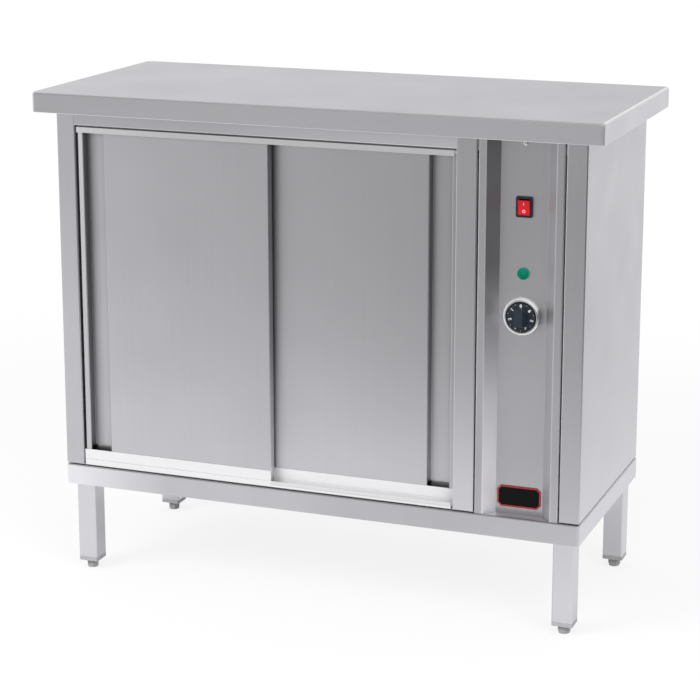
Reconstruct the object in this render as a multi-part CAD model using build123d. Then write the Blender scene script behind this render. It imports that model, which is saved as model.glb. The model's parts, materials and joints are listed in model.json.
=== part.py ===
from build123d import *
import math
import os

# Heated plate cabinet on legs, folded from stainless sheet, with two sliding doors and a recessed
# control column. Millimetres. X is the width, Y runs from the front to the back, Z is up. The origin
# is on the floor under the middle of the worktop, and the doors face -Y.

# Worktop
overall_height = 865.0
top_width = 1000.0
top_depth = 450.0
top_fascia = 35.0
top_sheet = 1.5
top_edge_radius = 3.5
top_corner_radius = 6.5
top_lip = 12.0
hem_radius = 1.2
stiffener_sheet = 1.5
stiffener_width = 60.0
stiffener_foot = 15.0
stiffener_spacing = 240.0

# Base tray
top_overhang_side = 31.0
top_overhang_front = 26.0
base_top = 200.0
base_fascia = 36.0
base_sheet = 1.5
base_edge_radius = 2.5
base_corner_radius = 5.0
base_hem = 5.0

# Legs, caps and screw feet
leg_size = 36.0
leg_wall = 1.5
leg_corner_radius = 3.0
leg_inset_side = 12.0
leg_inset_front = 16.0
leg_hem_gap = 1.0
leg_plate = 3.0
leg_plate_reach = 28.0
stud_diameter = 8.0
stud_length = 14.0
nut_flats = 13.0
nut_height = 6.5
foot_height = 15.5
foot_pad_diameter = 18.5
foot_pad_height = 3.0
foot_hex_flats = 19.0
foot_collar_diameter = 21.5
foot_collar_height = 4.0
foot_stem_diameter = 8.0
foot_stem_length = 30.0
cap_flange = 7.5
cap_plug = 22.0

# Body shell
body_inset_side = 1.0
body_inset_front = 2.0
skin = 1.2
bend = 1.6
seal_thickness = 1.3
seal_width = 15.0
seal_setback = 6.0
floor_sheet = 1.2
floor_setback = 2.0
side_stile = 34.5
stile_return = 14.0
jamb_margin = 3.2
jamb_flange = 12.0
rear_flange = 20.0
edge_flange_gap = 2.0
center_stile_width = 36.0
column_width = 146.5
header_height = 23.0
header_top_return = 15.0
back_sheet = 1.0
back_flange = 15.0

# Liner and insulation of the warm compartment
liner_sheet = 1.0
insulation_side = 18.8
insulation_rear = 19.6
roof_drop = 25.5
liner_flange = 12.0
partition_offset = 11.5

# Double door track
track_rib = 1.8
track_channel = 18.2
track_height = 9.5
track_floor = 2.0
track_shadow = 2.4
track_spacer_inset = 5.0
track_end_gap = 3.0

# Sliding doors
door_overlap = 29.5
door_sheet = 0.9
door_end_gap = 3.5
door_head_gap = 1.9
pull_flange = 9.5
pull_width = 40.0
pull_run = 2.5
pull_slot = 6.0
door_bend = 1.3
rail_height = 23.5
rail_wall = 1.0
rail_side_gap = 0.5
rail_overhang = 2.0
rail_lift = 2.0
glide_length = 40.0
glide_width = 12.0
glide_inset = 30.0
glide_peg_diameter = 5.0
glide_peg_spacing = 24.0

# Control column
panel_gap = 2.0
panel_flange = 13.5
panel_run = 17.5
panel_depth = 20.0
panel_return = 14.0
panel_floor_gap = 0.3
panel_top_gap = 0.5
bracket_height = 20.0
bracket_drop = 3.0
panel_screw_drop = 10.0

# Rocker switch
switch_drop = 113.0
switch_bezel_border = 2.25
switch_bezel_thickness = 2.0
switch_bezel_corner = 3.5
switch_wall = 1.85
switch_body_depth = 24.0
switch_well_depth = 15.0
rocker_width = 19.0
rocker_height = 23.5
rocker_rise = 2.4
rocker_dish = 1.6
rocker_depth = 9.0
rocker_tilt = 7.0
rocker_pivot_depth = 5.0
rocker_pin_diameter = 3.0
rocker_pin_length = 1.2
switch_tab_width = 6.3
switch_tab_thickness = 0.8
switch_tab_length = 8.0
switch_tab_pitch = 9.0

# Pilot lamp
lamp_pitch = 109.5
lamp_rim_wall = 1.5
lamp_rim_thickness = 1.6
lamp_lens_diameter = 16.6
lamp_lens_rise = 2.6
lamp_barrel_diameter = 14.0
lamp_barrel_length = 26.0
lamp_seat = 0.6

# Thermostat
knob_pitch = 70.0
knob_diameter = 50.2
knob_gap = 1.0
knob_skirt = 9.5
knob_taper = 0.6
bezel_gap = 0.8
bezel_width = 4.6
bezel_thickness = 10.0
bezel_round = 2.8
grip_length = 33.0
grip_front_width = 13.6
grip_slope = 2.7
grip_height = 16.0
shaft_diameter = 6.0
shaft_hole = 10.0
thermostat_width = 40.0
thermostat_tall = 46.0
thermostat_depth = 32.0
shaft_seat = 18.0
bulb_diameter = 8.0
bulb_length = 90.0
bulb_drop = 104.5
bulb_front = 20.0
capillary_diameter = 2.4
capillary_bend = 5.0
capillary_lead = 40.0
capillary_hole = 6.0
capillary_offset = 10.0
bulb_clip_sheet = 1.0
bulb_clip_width = 10.0
bulb_clip_foot = 8.0
bulb_clip_inset = 18.0

# Bare nameplate
nameplate_margin = 3.0
nameplate_height = 36.6
nameplate_thickness = 1.0
nameplate_corner = 6.5
nameplate_raise = 11.5

# Shelves and heater
shelf_sheet = 1.0
shelf_edge = 25.0
shelf_rise = 258.0
shelf_front_gap = 10.0
shelf_rear_gap = 14.0
shelf_end_gap = 4.0
shelf_rail_leg = 20.0
shelf_rail_sheet = 1.5
shelf_rail_setback = 15.0
deck_rise = 59.5
slot_length = 70.0
slot_width = 8.0
slot_pitch = 36.0
slot_rows = 3
slot_margin = 45.0
element_diameter = 8.5
element_drop = 30.0
element_bend = 56.0
element_spacing = 140.0
element_left_gap = 60.0
element_terminal = 25.0
element_support_sheet = 1.5
element_support_foot = 15.0
element_support_margin = 15.0
element_support_count = 3

# Electrical pieces behind the control column
terminal_width = 18.0
terminal_length = 62.0
terminal_tall = 24.0
terminal_rise = 97.5
terminal_front = 40.0
terminal_ways = 5
terminal_bore = 6.0
gland_rise = 57.5
gland_flats = 24.0
gland_hex_depth = 6.0
gland_dome_diameter = 19.0
gland_dome_depth = 10.0
gland_bore = 10.0
gland_thread = 20.0
gland_nut_depth = 5.0
vent_slot_width = 90.0
vent_slot_height = 6.0
vent_pitch = 16.0
vent_count = 6
vent_drop = 190.0

# Small fasteners
screw_diameter = 4.0
screw_head_diameter = 8.0
screw_head_height = 2.2
screw_head_round = 1.7
screw_length = 9.0
rear_screw_margin = 60.0
rear_screw_count = 4

# Clearances
seat_gap = 0.3
press_gap = 0.1
hole_gap = 0.25

# Outline of the base, the body and the door opening
base_width = top_width - 2 * top_overhang_side
base_depth = top_depth - 2 * top_overhang_front
leg_inset_rear = base_hem + leg_hem_gap
leg_plate_under = base_top - base_sheet - leg_plate
body_half = base_width / 2 - body_inset_side
front = -(base_depth / 2 - body_inset_front)
rear = base_depth / 2 - body_inset_front
floor_under = base_top + seal_thickness
body_bottom = floor_under + floor_sheet
body_top = overall_height - top_fascia
jamb_left = -body_half + side_stile
right_stile_edge = body_half - side_stile
stile_right = right_stile_edge - column_width
jamb_right = stile_right - center_stile_width
opening_width = jamb_right - jamb_left

# Tracks and doors
track_pitch = track_rib + track_channel
track_depth = 2 * track_pitch + track_rib
jamb_rear = front + track_depth + jamb_margin
header_bottom = body_top - header_height
track_top = header_bottom - track_shadow
door_width = (opening_width - 2 * door_end_gap + door_overlap) / 2
door_thickness = track_channel - 2 * rail_side_gap - 2 * rail_wall
pull_depth = door_thickness - 2 * door_sheet - seat_gap

# Warm compartment
back_face = rear - skin - back_sheet
edge_flange = skin + insulation_side - edge_flange_gap
liner_left_face = -body_half + skin + insulation_side + liner_sheet
liner_rear_face = back_face - insulation_rear - liner_sheet
roof_under = body_top - roof_drop
partition_face = jamb_right + partition_offset
deck_height = body_bottom + deck_rise
shelf_height = deck_height + shelf_rise
element_height = deck_height - element_drop
bulb_height = roof_under - bulb_drop

# Control column
panel_left = stile_right + panel_gap
panel_right = right_stile_edge - panel_gap
panel_center = (panel_left + panel_right) / 2
panel_face = front + panel_depth
panel_back = panel_face + skin
switch_height = body_top - switch_drop
lamp_height = switch_height - lamp_pitch
knob_height = lamp_height - knob_pitch
switch_rim = panel_face - switch_bezel_thickness
rocker_pivot = switch_rim + rocker_pivot_depth
rocker_reach = rocker_pivot_depth + rocker_rise + rocker_dish
rocker_swing = rocker_reach * math.sin(math.radians(rocker_tilt)) + seat_gap
switch_well_width = rocker_width + 2 * seat_gap
switch_well_height = rocker_height + 2 * rocker_swing
switch_body_width = switch_well_width + 2 * switch_wall
switch_body_height = switch_well_height + 2 * switch_wall
lamp_rim_diameter = lamp_lens_diameter + 2 * (press_gap + lamp_rim_wall)
bezel_bore = knob_diameter + 2 * bezel_gap
bezel_diameter = bezel_bore + 2 * bezel_width
shaft_end = knob_gap + knob_skirt + grip_height / 2
panel_floor_width = panel_right - panel_left - 2 * (panel_flange + panel_run)
nameplate_width = panel_floor_width - 2 * nameplate_margin


def block(x0, x1, y0, y1, z0, z1):
    """Plain slab between two opposite corners."""
    middle = Pos((x0 + x1) / 2, (y0 + y1) / 2, (z0 + z1) / 2)
    return middle * Box(x1 - x0, y1 - y0, z1 - z0)


def rod_y(x, z, radius, y0, y1):
    """Round bar along Y."""
    return Pos(x, (y0 + y1) / 2, z) * Rot(90, 0, 0) * Cylinder(radius, y1 - y0)


def bent_section(points, sheet, radius=bend):
    """Cross-section of a sheet folded along its middle line."""
    return trace(FilletPolyline(*points, radius=radius), line_width=sheet)


def folded_upright(points, sheet, z0, z1, radius=bend):
    """Sheet folded along a plan line, standing from z0 to z1."""
    return extrude(Pos(0, 0, z0) * bent_section(points, sheet, radius), amount=z1 - z0)


def folded_along_x(points, sheet, x0, x1, radius=bend):
    """Sheet folded along a side-view line of (y, z) points, running from x0 to x1."""
    return extrude(Plane.YZ.offset(x0) * bent_section(points, sheet, radius), amount=x1 - x0)


def mirrored_points(points, middle):
    """Plan points mirrored left to right about x = middle."""
    return [(2 * middle - x, y) for x, y in points]


def rounded_slab(width, depth, corner, z0, z1, edge):
    """Slab with rounded upright corners and a rounded upper rim."""
    slab = extrude(Pos(0, 0, z0) * RectangleRounded(width, depth, corner), amount=z1 - z0)
    return fillet(slab.edges().group_by(Axis.Z)[-1], edge)


def folded_tray(width, depth, corner, top, drop, sheet, edge, lip):
    """Sheet folded down on four sides, with a lip turned in along its lower edge."""
    bottom = top - drop
    outer = rounded_slab(width, depth, corner, bottom, top, edge)
    outer = fillet(outer.edges().group_by(Axis.Z)[0], hem_radius)
    hollow = rounded_slab(
        width - 2 * sheet, depth - 2 * sheet, corner - sheet, bottom + sheet, top - sheet, edge - sheet
    )
    mouth = extrude(Pos(0, 0, bottom) * Rectangle(width - 2 * lip, depth - 2 * lip), amount=sheet)
    return outer - hollow - mouth


def worktop():
    return folded_tray(
        top_width,
        top_depth,
        top_corner_radius,
        overall_height,
        top_fascia,
        top_sheet,
        top_edge_radius,
        top_lip,
    )


def worktop_stiffeners():
    """Two hat sections between the side panels and the underside of the worktop."""
    low = body_top + stiffener_sheet / 2
    high = overall_height - top_sheet - stiffener_sheet / 2
    half = stiffener_width / 2
    hats = []
    for middle in (-stiffener_spacing / 2, stiffener_spacing / 2):
        line = [
            (middle - half - stiffener_foot, low),
            (middle - half, low),
            (middle - half, high),
            (middle + half, high),
            (middle + half, low),
            (middle + half + stiffener_foot, low),
        ]
        hats.append(folded_along_x(line, stiffener_sheet, -body_half + skin, body_half - skin))
    return Compound(children=hats)


def leg_corners():
    """Outer corner of each leg, with the directions that lead inwards along X and Y."""
    side = base_width / 2 - leg_inset_side
    near = -base_depth / 2 + leg_inset_front
    far = base_depth / 2 - leg_inset_rear
    return {
        "front_left": (-side, near, 1, 1),
        "front_right": (side, near, -1, 1),
        "rear_left": (-side, far, 1, -1),
        "rear_right": (side, far, -1, -1),
    }


def leg_axis(corner):
    x, y, inward_x, inward_y = corner
    return x + inward_x * leg_size / 2, y + inward_y * leg_size / 2


def stud_places(corner):
    """Weld studs beside a leg: one past each inner face and one on the diagonal."""
    x, y, inward_x, inward_y = corner
    beside = leg_size / 2
    past = leg_size + leg_plate_reach / 2
    return [
        (x + inward_x * along, y + inward_y * across)
        for along, across in ((past, beside), (beside, past), (past, past))
    ]


def base_tray():
    tray = folded_tray(
        base_width,
        base_depth,
        base_corner_radius,
        base_top,
        base_fascia,
        base_sheet,
        base_edge_radius,
        base_hem,
    )
    root = base_top - base_sheet
    for corner in leg_corners().values():
        for x, y in stud_places(corner):
            stud = Pos(x, y, root - stud_length) * Cylinder(
                stud_diameter / 2, stud_length, align=(Align.CENTER, Align.CENTER, Align.MIN)
            )
            tray += stud
    return tray


def leg(corner):
    """Square tube welded to a plate that hangs on the studs of the base tray."""
    x, y, inward_x, inward_y = corner
    middle_x, middle_y = leg_axis(corner)
    low = foot_height + cap_flange
    bore = leg_size - 2 * leg_wall
    section = RectangleRounded(leg_size, leg_size, leg_corner_radius)
    section -= RectangleRounded(bore, bore, leg_corner_radius - leg_wall)
    tube = extrude(Pos(middle_x, middle_y, low) * section, amount=leg_plate_under - low)
    reach = leg_size + leg_plate_reach
    plate = Pos(x + inward_x * reach / 2, y + inward_y * reach / 2, leg_plate_under) * Box(
        reach, reach, leg_plate, align=(Align.CENTER, Align.CENTER, Align.MIN)
    )
    for stud_x, stud_y in stud_places(corner):
        plate -= Pos(stud_x, stud_y, leg_plate_under) * Cylinder(stud_diameter / 2 + hole_gap, 3 * leg_plate)
    return tube + plate


def leg_cap(corner):
    """Plug in the end of a leg, with the thread for its foot."""
    middle_x, middle_y = leg_axis(corner)
    plug_size = leg_size - 2 * leg_wall - 2 * press_gap
    flange = extrude(RectangleRounded(leg_size, leg_size, leg_corner_radius), amount=cap_flange)
    plug_corner = leg_corner_radius - leg_wall
    plug = extrude(RectangleRounded(plug_size, plug_size, plug_corner), amount=cap_flange + cap_plug)
    bore = Cylinder(foot_stem_diameter / 2 + seat_gap, 3 * (cap_flange + cap_plug))
    return Pos(middle_x, middle_y, foot_height) * (flange + plug - bore)


def foot(corner):
    """Screw foot: pad, hexagon for the spanner, collar and stem."""
    middle_x, middle_y = leg_axis(corner)
    collar_top = foot_height - seat_gap
    collar_bottom = collar_top - foot_collar_height
    upright = (Align.CENTER, Align.CENTER, Align.MIN)
    pad = Cone(foot_pad_diameter / 2, foot_hex_flats / 2, foot_pad_height, align=upright)
    hexagon = extrude(
        Pos(0, 0, foot_pad_height) * RegularPolygon(foot_hex_flats / 2, 6, major_radius=False),
        amount=collar_bottom - foot_pad_height,
    )
    collar = Pos(0, 0, collar_bottom) * Cylinder(foot_collar_diameter / 2, foot_collar_height, align=upright)
    stem = Pos(0, 0, collar_top) * Cylinder(foot_stem_diameter / 2, foot_stem_length, align=upright)
    return Pos(middle_x, middle_y, 0) * (pad + hexagon + collar + stem)


def leg_nuts():
    """Nuts under the leg plates."""
    nut = extrude(RegularPolygon(nut_flats / 2, 6, major_radius=False), amount=-nut_height)
    nut -= Cylinder(stud_diameter / 2 + press_gap, 3 * nut_height)
    places = [place for corner in leg_corners().values() for place in stud_places(corner)]
    return Compound(children=[Pos(x, y, leg_plate_under) * nut for x, y in places])


def cabinet_floor():
    """Floor plate, cut back under the recessed control column."""
    half = body_half - floor_setback
    plate = block(-half, half, front + floor_setback, rear - floor_setback, floor_under, body_bottom)
    notch = block(
        stile_right + panel_gap / 2,
        right_stile_edge - panel_gap / 2,
        front,
        panel_back + skin,
        floor_under,
        body_bottom,
    )
    return plate - notch


def floor_seal():
    """Strips that seal the body to the base tray and leave a shadow gap round it."""
    side = body_half - floor_setback - seal_setback
    far = rear - floor_setback - seal_setback
    near = front + floor_setback + seal_setback
    behind_panel = panel_back + skin + seal_setback
    strips = [
        block(-side, -side + seal_width, near, far - seal_width, base_top, floor_under),
        block(side - seal_width, side, behind_panel, far - seal_width, base_top, floor_under),
        block(-side, side, far - seal_width, far, base_top, floor_under),
        block(-side + seal_width, stile_right - seal_setback, near, near + seal_width, base_top, floor_under),
    ]
    return Compound(children=strips)


def rear_screw_places():
    """Places of the back panel's screws, through the rear flanges of the side panels."""
    low = body_bottom + rear_screw_margin
    step = (body_top - body_bottom - 2 * rear_screw_margin) / (rear_screw_count - 1)
    column = body_half - rear_flange / 2
    return [(x, low + i * step) for x in (-column, column) for i in range(rear_screw_count)]


def rear_screw_holes(parity):
    """Clearance holes for the screws on the left (-1) or the right (1)."""
    radius = screw_diameter / 2 + hole_gap
    return [
        rod_y(x, z, radius, back_face - rear_flange, rear + skin)
        for x, z in rear_screw_places()
        if x * parity > 0
    ]


def edge_flanges(outer, inward):
    """Flanges turned inwards along the lower and upper edge of a side panel."""
    inner = outer + inward * edge_flange
    x0, x1 = min(outer + inward * skin / 2, inner), max(outer + inward * skin / 2, inner)
    y0 = front + stile_return + edge_flange_gap
    y1 = back_face - back_flange - seat_gap
    lower = block(x0, x1, y0, y1, body_bottom, body_bottom + skin)
    upper = block(x0, x1, y0, y1, body_top - skin, body_top)
    return lower + upper


def left_side_panel():
    """Side, front stile and door jamb folded from one sheet."""
    half = skin / 2
    line = [
        (-body_half + rear_flange, rear - half),
        (-body_half + half, rear - half),
        (-body_half + half, front + half),
        (jamb_left - half, front + half),
        (jamb_left - half, jamb_rear - half),
        (jamb_left - half - jamb_flange, jamb_rear - half),
    ]
    panel = folded_upright(line, skin, body_bottom, body_top) + edge_flanges(-body_half, 1)
    return panel - rear_screw_holes(-1)


def right_side_panel():
    """Side and front stile folded from one sheet."""
    half = skin / 2
    line = [
        (body_half - rear_flange, rear - half),
        (body_half - half, rear - half),
        (body_half - half, front + half),
        (right_stile_edge + half, front + half),
        (right_stile_edge + half, front + stile_return),
    ]
    panel = folded_upright(line, skin, body_bottom, body_top) + edge_flanges(body_half, -1)
    return panel - rear_screw_holes(1)


def center_stile():
    """Post between the door opening and the control column, folded with the right door jamb."""
    half = skin / 2
    line = [
        (jamb_right + jamb_flange, jamb_rear - half),
        (jamb_right + half, jamb_rear - half),
        (jamb_right + half, front + half),
        (stile_right - half, front + half),
        (stile_right - half, front + stile_return),
    ]
    return folded_upright(line, skin, body_bottom, body_top)


def header_rail():
    """Rail over the doors. Its lower flange carries the upper track."""
    half = skin / 2
    line = [
        (front + header_top_return, body_top - half),
        (front + half, body_top - half),
        (front + half, header_bottom + half),
        (front + track_depth, header_bottom + half),
    ]
    return folded_along_x(line, skin, jamb_left, jamb_right)


def gland_place():
    return panel_center, body_bottom + gland_rise


def back_panel():
    """Back sheet with folded upper and lower edges, vents and the cable entry."""
    half = back_sheet / 2
    wall = back_face + half
    line = [
        (wall - back_flange, body_bottom + half),
        (wall, body_bottom + half),
        (wall, body_top - half),
        (wall - back_flange, body_top - half),
    ]
    end = body_half - skin - bend
    panel = folded_along_x(line, back_sheet, -end, end)
    panel -= rear_screw_holes(-1) + rear_screw_holes(1)
    x, z = gland_place()
    panel -= rod_y(x, z, gland_thread / 2 + hole_gap, back_face - back_flange / 2, rear)
    for i in range(vent_count):
        low = body_top - vent_drop + i * vent_pitch
        panel -= block(
            x - vent_slot_width / 2, x + vent_slot_width / 2, back_face, rear, low, low + vent_slot_height
        )
    return panel


def left_liner():
    half = liner_sheet / 2
    wall = liner_left_face - half
    line = [
        (wall + liner_flange, jamb_rear + half),
        (wall, jamb_rear + half),
        (wall, liner_rear_face),
    ]
    return folded_upright(line, liner_sheet, body_bottom, roof_under)


def rear_liner():
    half = liner_sheet / 2
    wall = liner_rear_face + half
    line = [
        (wall - liner_flange, body_bottom + half),
        (wall, body_bottom + half),
        (wall, roof_under - half),
        (wall - liner_flange, roof_under - half),
    ]
    return folded_along_x(line, liner_sheet, liner_left_face, partition_face)


def roof_liner():
    """Roof of the warm compartment, laid on the liners, with its front edge turned up."""
    half = liner_sheet / 2
    near = jamb_rear + liner_sheet + bend + half
    line = [
        (near, roof_under + half + liner_flange),
        (near, roof_under + half),
        (liner_rear_face + liner_sheet, roof_under + half),
    ]
    return folded_along_x(line, liner_sheet, liner_left_face - liner_sheet, partition_face)


def insulation():
    """Mineral wool behind the left liner, the rear liner and the roof."""
    outer = -body_half + skin
    behind_jamb = jamb_rear + 2 * liner_sheet + 2 * bend
    tuck = skin + bend
    left = block(
        outer, liner_left_face - liner_sheet, behind_jamb, back_face, body_bottom + tuck, body_top - tuck
    )
    back = block(
        liner_left_face - liner_sheet,
        partition_face,
        liner_rear_face + liner_sheet,
        back_face,
        body_bottom + tuck,
        roof_under,
    )
    roof = block(
        liner_left_face - liner_sheet,
        partition_face,
        behind_jamb,
        back_face - back_flange,
        roof_under + liner_sheet,
        body_top - skin,
    )
    return Compound(children=[left - rear_screw_holes(-1), back, roof])


def element_rows():
    return (-element_spacing / 2, element_spacing / 2)


def partition():
    """Wall between the warm compartment and the controls, with holes for the heater and the capillary."""
    half = liner_sheet / 2
    wall = partition_face + half
    line = [
        (wall - liner_flange + skin, jamb_rear + half),
        (wall, jamb_rear + half),
        (wall, back_face - back_flange - seat_gap),
    ]
    panel = folded_upright(line, liner_sheet, body_bottom, body_top - skin)
    for y in element_rows():
        hole = Pos(wall, y, element_height) * Rot(0, 90, 0)
        panel -= hole * Cylinder(element_diameter / 2 + seat_gap, liner_flange)
    entry = Pos(wall, capillary_entry(), bulb_height) * Rot(0, 90, 0)
    return panel - entry * Cylinder(capillary_hole / 2, liner_flange)


def track_comb(low, high, rib_edge):
    """Side-view section of a double track: a floor from low to high, and three ribs that end at rib_edge."""
    web = Pos(front + track_depth / 2, (low + high) / 2) * Rectangle(track_depth, abs(high - low))
    for i in range(3):
        middle = front + track_rib / 2 + i * track_pitch
        web += Pos(middle, (low + rib_edge) / 2) * Rectangle(track_rib, abs(rib_edge - low))
    return web


def along_opening(section, end_gap=track_end_gap):
    """Extrude a side-view section across the door opening."""
    length = opening_width - 2 * end_gap
    return extrude(Plane.YZ.offset(jamb_left + end_gap) * section, amount=length)


def sill_track():
    return along_opening(track_comb(body_bottom, body_bottom + track_floor, body_bottom + track_height))


def upper_track():
    """Upper track, with a spacer that seats it under the header and leaves a shadow line in front."""
    section = track_comb(track_top, track_top - track_floor, track_top - track_height)
    spacer_depth = track_depth - 2 * track_spacer_inset
    spacer = Rectangle(spacer_depth, track_shadow + track_floor)
    section += Pos(front + track_depth / 2, header_bottom - (track_shadow + track_floor) / 2) * spacer
    return along_opening(section)


class Door:
    """Places of one door. The pull side is -1 on the left door and 1 on the right."""

    def __init__(self, pull_side, track):
        self.pull_side = pull_side
        channel_front = front + track_rib + track * track_pitch
        self.rail_front = channel_front + rail_side_gap
        self.rail_rear = channel_front + track_channel - rail_side_gap
        self.face = self.rail_front + rail_wall
        self.back = self.face + door_thickness
        self.pull_edge = jamb_left + door_end_gap if pull_side < 0 else jamb_right - door_end_gap
        self.rail_bottom = body_bottom + track_floor + rail_lift
        self.rail_top = self.rail_bottom + rail_height
        self.bottom = self.rail_bottom + rail_wall + seat_gap
        self.top = track_top - track_floor - door_head_gap

    def x(self, distance):
        """X of a point at a distance in from the pull edge."""
        return self.pull_edge - self.pull_side * distance

    def span(self, start, end):
        return min(self.x(start), self.x(end)), max(self.x(start), self.x(end))


def door_skin(door):
    """Front sheet folded with its edges and a full-height finger pull, open at its foot."""
    half = door_sheet / 2
    face = door.face + half
    floor = face + pull_depth
    inner = door.back - door_sheet
    profile = [
        (half, inner),
        (half, face),
        (pull_flange, face),
        (pull_flange + pull_run, floor),
        (pull_flange + pull_width - pull_run, floor),
        (pull_flange + pull_width, face),
        (door_width - half, face),
        (door_width - half, inner),
    ]
    line = [(door.x(distance), y) for distance, y in profile]
    skin_sheet = folded_upright(line, door_sheet, door.bottom, door.top, door_bend)
    x0, x1 = door.span(pull_flange + half, pull_flange + pull_width - half)
    return skin_sheet - block(x0, x1, door.face, inner, door.bottom, door.rail_top + pull_slot)


def door_back(door):
    x0, x1 = door.span(0, door_width)
    return block(x0, x1, door.back - door_sheet, door.back, door.bottom, door.top)


def glide_places(door):
    """Middle of each glide along the door."""
    return [door.x(glide_inset + glide_length / 2), door.x(door_width - glide_inset - glide_length / 2)]


def glide_pegs(door, radius, z0, z1):
    middle_y = (door.rail_front + door.rail_rear) / 2
    upright = (Align.CENTER, Align.CENTER, Align.MIN)
    return [
        Pos(middle + side * glide_peg_spacing / 2, middle_y, z0) * Cylinder(radius, z1 - z0, align=upright)
        for middle in glide_places(door)
        for side in (-1, 1)
    ]


def door_rail(door):
    """Bright U-channel along the foot of a door."""
    half = rail_wall / 2
    line = [
        (door.rail_front + half, door.rail_top),
        (door.rail_front + half, door.rail_bottom + half),
        (door.rail_rear - half, door.rail_bottom + half),
        (door.rail_rear - half, door.rail_top),
    ]
    x0, x1 = door.span(-rail_overhang, door_width)
    channel = folded_along_x(line, rail_wall, x0, x1, half + seat_gap)
    radius = glide_peg_diameter / 2 + press_gap
    return channel - glide_pegs(door, radius, door.rail_bottom - rail_wall, door.bottom + rail_wall)


def door_glides(door):
    """Two nylon glides clipped under the rail."""
    low = body_bottom + track_floor + seat_gap
    middle_y = (door.rail_front + door.rail_rear) / 2
    pegs = glide_pegs(door, glide_peg_diameter / 2, low, door.bottom)
    glides = []
    for i, middle in enumerate(glide_places(door)):
        pad = block(
            middle - glide_length / 2,
            middle + glide_length / 2,
            middle_y - glide_width / 2,
            middle_y + glide_width / 2,
            low,
            door.rail_bottom,
        )
        glides.append(pad + pegs[2 * i : 2 * i + 2])
    return Compound(children=glides)


def control_panel():
    """Recessed channel that carries the controls."""
    half = skin / 2
    left = [
        (panel_left + half, front + panel_return),
        (panel_left + half, front + half),
        (panel_left + panel_flange, front + half),
        (panel_left + panel_flange + panel_run, panel_face + half),
    ]
    line = left + mirrored_points(reversed(left), panel_center)
    panel = folded_upright(line, skin, base_top + panel_floor_gap, body_top - panel_top_gap)
    panel -= switch_cutout()
    panel -= rod_y(panel_center, lamp_height, lamp_barrel_diameter / 2 + hole_gap, front, panel_back + skin)
    panel -= rod_y(panel_center, knob_height, shaft_hole / 2, front, panel_back + skin)
    return panel - panel_screw_hole()


def panel_screw_height():
    return body_top - panel_screw_drop


def panel_screw_hole():
    radius = screw_diameter / 2 + hole_gap
    return rod_y(panel_center, panel_screw_height(), radius, panel_face - skin, panel_back + 3 * skin)


def panel_bracket():
    """Strap between the stiles that the control column is screwed to."""
    half = skin / 2
    web = panel_back + half
    line = [
        (stile_right + half, front + 2 * skin),
        (stile_right + half, web),
        (right_stile_edge - half, web),
        (right_stile_edge - half, front + 2 * skin),
    ]
    high = body_top - bracket_drop
    return folded_upright(line, skin, high - bracket_height, high) - panel_screw_hole()


def switch_cutout():
    """Opening in the panel for the body of the switch."""
    half_width = switch_body_width / 2 + hole_gap
    half_height = switch_body_height / 2 + hole_gap
    return block(
        panel_center - half_width,
        panel_center + half_width,
        panel_face - skin,
        panel_back + skin,
        switch_height - half_height,
        switch_height + half_height,
    )


def facing_panel(sketch, offset):
    """Put a sketch of (x, z) on a plane that faces the user, offset mm in front of the panel."""
    return Plane((panel_center, panel_face - offset, 0), x_dir=(1, 0, 0), z_dir=(0, -1, 0)) * sketch


def switch_body():
    """Switch housing with its bezel, the well of the rocker and three terminals."""
    place = Pos(0, switch_height)
    border = 2 * switch_bezel_border
    outline = RectangleRounded(switch_body_width + border, switch_body_height + border, switch_bezel_corner)
    bezel = extrude(facing_panel(place * outline, 0), amount=switch_bezel_thickness)
    housing = extrude(
        facing_panel(place * Rectangle(switch_body_width, switch_body_height), 0), amount=-switch_body_depth
    )
    mouth = facing_panel(place * Rectangle(switch_well_width, switch_well_height), switch_bezel_thickness)
    well = extrude(mouth, amount=-switch_bezel_thickness - switch_well_depth)
    body = bezel + housing - well - rocker_pin(rocker_pin_diameter / 2 + seat_gap, switch_body_width)
    tail = panel_face + switch_body_depth
    for i in (-1, 0, 1):
        middle = switch_height + i * switch_tab_pitch
        body += block(
            panel_center - switch_tab_width / 2,
            panel_center + switch_tab_width / 2,
            tail,
            tail + switch_tab_length,
            middle - switch_tab_thickness / 2,
            middle + switch_tab_thickness / 2,
        )
    return body


def rocker_pin(radius, half_length):
    """Pivot of the rocker, along X."""
    return Pos(panel_center, rocker_pivot, switch_height) * Rot(0, 90, 0) * Cylinder(radius, 2 * half_length)


def switch_rocker():
    """Dished rocker on two pivot pins, with its lower half pressed in at rest."""
    half = rocker_height / 2
    crest = -rocker_reach
    trough = crest + rocker_dish
    tail = rocker_depth - rocker_pivot_depth
    outline = Polyline(
        (crest, half),
        (trough, 0),
        (crest, -half),
        (-rocker_pivot_depth, -half),
        (tail, -half / 2),
        (tail, half / 2),
        (-rocker_pivot_depth, half),
        close=True,
    )
    side = Plane.YZ.offset(panel_center - rocker_width / 2)
    lever = extrude(side * make_face(outline), amount=rocker_width)
    tipped = Pos(0, rocker_pivot, switch_height) * Rot(rocker_tilt, 0, 0) * lever
    return tipped + rocker_pin(rocker_pin_diameter / 2, rocker_width / 2 + rocker_pin_length)


def around_y(outline, height):
    """Revolve an outline of (radius, distance in front of the panel) about the axis through the panel."""
    spin = Plane((panel_center, panel_face, height), x_dir=(1, 0, 0), z_dir=(0, 0, 1))
    points = [(radius, -ahead) for radius, ahead in outline]
    axis = Axis((panel_center, panel_face, height), (0, 1, 0))
    return revolve(spin * make_face(Polyline(*points, close=True)), axis=axis)


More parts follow.
